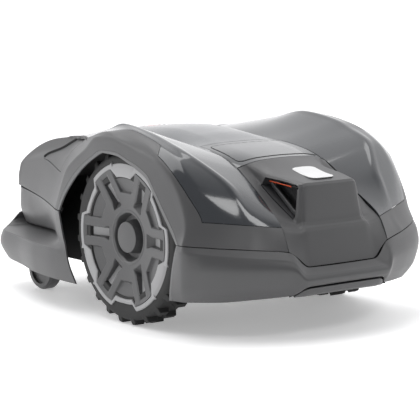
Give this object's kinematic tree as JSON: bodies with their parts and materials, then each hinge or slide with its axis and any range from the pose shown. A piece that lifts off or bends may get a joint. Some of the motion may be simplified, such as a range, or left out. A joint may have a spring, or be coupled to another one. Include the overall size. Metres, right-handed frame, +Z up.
{
  "type": "robotic lawn mower",
  "caption": "Robotic lawn mower: floating sculpted shell with hatch and rear hand grip, lugged drive wheels, front casters and a height-set disc with swinging blades.",
  "frame": {"origin": "middle of the outline on the ground, under the centre of the overall length and width", "axes": "+X forward towards the casters, +Y to the mower's left, +Z up"},
  "size_m": [0.6649, 0.442, 0.2855],
  "materials": {
    "body_matte": "fine-grained moulded ABS",
    "shell_gloss": "glossy moulded shell",
    "tyre": "moulded rubber",
    "wheel_grey": "grained nylon",
    "ring_grey": "light grey moulded ring",
    "black_plastic": "black moulded plastic",
    "frame_plastic": "ribbed polypropylene",
    "steel": "stainless",
    "motor_metal": "die cast",
    "contact_metal": "plated strip",
    "rubber": "moulded rubber",
    "orange": "orange moulded strip",
    "stop_red": "red moulded button",
    "screen": "display window",
    "board_green": "solder mask"
  },
  "bodies": {
    "chassis": {"chassis_tub": "black_plastic", "chassis_lid": "black_plastic", "lid_seal": "rubber", "chassis_screws": "steel", "battery_pack": "frame_plastic", "main_board": "board_green", "wiring_loom": "rubber", "height_guides": "steel", "shell_posts": "rubber", "guide_sensor": "frame_plastic", "gearmotor_left": "motor_metal", "gearmotor_right": "motor_metal", "axle_bearings": "steel", "caster_bushes": "frame_plastic"},
    "shell_frame": {"shell_frame": "frame_plastic"},
    "body_shell": {"side_shell_left": "body_matte", "side_shell_right": "body_matte", "shoulder_shell_left": "shell_gloss", "shoulder_shell_right": "shell_gloss", "shoulder_inset_left": "body_matte", "shoulder_inset_right": "body_matte", "nose_cap": "body_matte", "rear_deck": "shell_gloss", "name_plate": "shell_gloss", "rear_cover": "body_matte", "rear_bumper": "body_matte", "bumper_insert": "body_matte", "side_skirt_left": "body_matte", "side_skirt_right": "body_matte", "nose_apron": "body_matte", "grip_liners": "black_plastic", "grip_strips": "orange", "control_panel": "frame_plastic", "display": "screen", "charge_contacts": "contact_metal"},
    "hatch": {"hatch": "shell_gloss", "hatch_arms": "frame_plastic"},
    "stop_button": {"stop_button": "stop_red"},
    "power_key": {"power_key": "rubber"},
    "select_key": {"select_key": "rubber"},
    "cutter_carriage": {"cutting_motor": "motor_metal"},
    "cutting_disc": {"cutting_disc": "steel"},
    "skid_plate": {"skid_plate": "frame_plastic"},
    "blade_1": {"blade_1": "steel"},
    "blade_2": {"blade_2": "steel"},
    "blade_3": {"blade_3": "steel"},
    "drive_wheel_left": {"tyre_left": "tyre", "wheel_core_left": "wheel_grey", "wheel_ring_left": "ring_grey", "wheel_cover_left": "wheel_grey", "drive_shaft_left": "steel"},
    "caster_left": {"caster_fork_left": "black_plastic"},
    "caster_roller_left": {"caster_wheel_left": "wheel_grey"},
    "drive_wheel_right": {"tyre_right": "tyre", "wheel_core_right": "wheel_grey", "wheel_ring_right": "ring_grey", "wheel_cover_right": "wheel_grey", "drive_shaft_right": "steel"},
    "caster_right": {"caster_fork_right": "black_plastic"},
    "caster_roller_right": {"caster_wheel_right": "wheel_grey"}
  },
  "joints": [
    {"name": "shell_lift", "type": "slide", "parent": "chassis", "child": "shell_frame", "axis": [0, 0, 1], "range_m": [0, 0.008]},
    {"name": "shell_bump", "type": "slide", "parent": "shell_frame", "child": "body_shell", "axis": [1, 0, 0], "range_m": [-0.004, 0.004], "stiffness_N_per_m": 2500},
    {"name": "hatch_hinge", "type": "hinge", "parent": "body_shell", "child": "hatch", "pos_m": [0.2085, 0, 0.2463], "axis": [0, 1, 0], "range_deg": [0, 65]},
    {"name": "stop_press", "type": "slide", "parent": "hatch", "child": "stop_button", "axis": [0, 0, -1], "range_m": [0, 0.003], "stiffness_N_per_m": 900},
    {"name": "power_key_press", "type": "slide", "parent": "body_shell", "child": "power_key", "axis": [0, 0, -1], "range_m": [0, 0.0012], "stiffness_N_per_m": 500},
    {"name": "select_key_press", "type": "slide", "parent": "body_shell", "child": "select_key", "axis": [0, 0, -1], "range_m": [0, 0.0012], "stiffness_N_per_m": 500},
    {"name": "drive_wheel_spin_left", "type": "hinge", "parent": "chassis", "child": "drive_wheel_left", "pos_m": [-0.0765, 0.1825, 0.127], "axis": [0, 1, 0], "continuous": true},
    {"name": "caster_swivel_left", "type": "hinge", "parent": "chassis", "child": "caster_left", "pos_m": [0.2455, 0.139, 0.085], "axis": [0, 0, 1], "continuous": true},
    {"name": "caster_roll_left", "type": "hinge", "parent": "caster_left", "child": "caster_roller_left", "pos_m": [0.2355, 0.139, 0.034], "axis": [0, 1, 0], "continuous": true},
    {"name": "drive_wheel_spin_right", "type": "hinge", "parent": "chassis", "child": "drive_wheel_right", "pos_m": [-0.0765, -0.1825, 0.127], "axis": [0, 1, 0], "continuous": true},
    {"name": "caster_swivel_right", "type": "hinge", "parent": "chassis", "child": "caster_right", "pos_m": [0.2455, -0.139, 0.085], "axis": [0, 0, 1], "continuous": true},
    {"name": "caster_roll_right", "type": "hinge", "parent": "caster_right", "child": "caster_roller_right", "pos_m": [0.2355, -0.139, 0.034], "axis": [0, 1, 0], "continuous": true},
    {"name": "cutting_height", "type": "slide", "parent": "chassis", "child": "cutter_carriage", "axis": [0, 0, 1], "range_m": [-0.02, 0.015]},
    {"name": "cutting_spin", "type": "hinge", "parent": "cutter_carriage", "child": "cutting_disc", "pos_m": [0.0535, 0, 0.0435], "axis": [0, 0, 1], "continuous": true},
    {"name": "skid_spin", "type": "hinge", "parent": "cutter_carriage", "child": "skid_plate", "pos_m": [0.0535, 0, 0.036], "axis": [0, 0, 1], "continuous": true},
    {"name": "blade_swing_1", "type": "hinge", "parent": "cutting_disc", "child": "blade_1", "pos_m": [0.1415, 0, 0.0408], "axis": [0, 0, 1], "continuous": true},
    {"name": "blade_swing_2", "type": "hinge", "parent": "cutting_disc", "child": "blade_2", "pos_m": [0.0095, 0.07621, 0.0408], "axis": [0, 0, 1], "continuous": true},
    {"name": "blade_swing_3", "type": "hinge", "parent": "cutting_disc", "child": "blade_3", "pos_m": [0.0095, -0.07621, 0.0408], "axis": [0, 0, 1], "continuous": true}
  ]
}
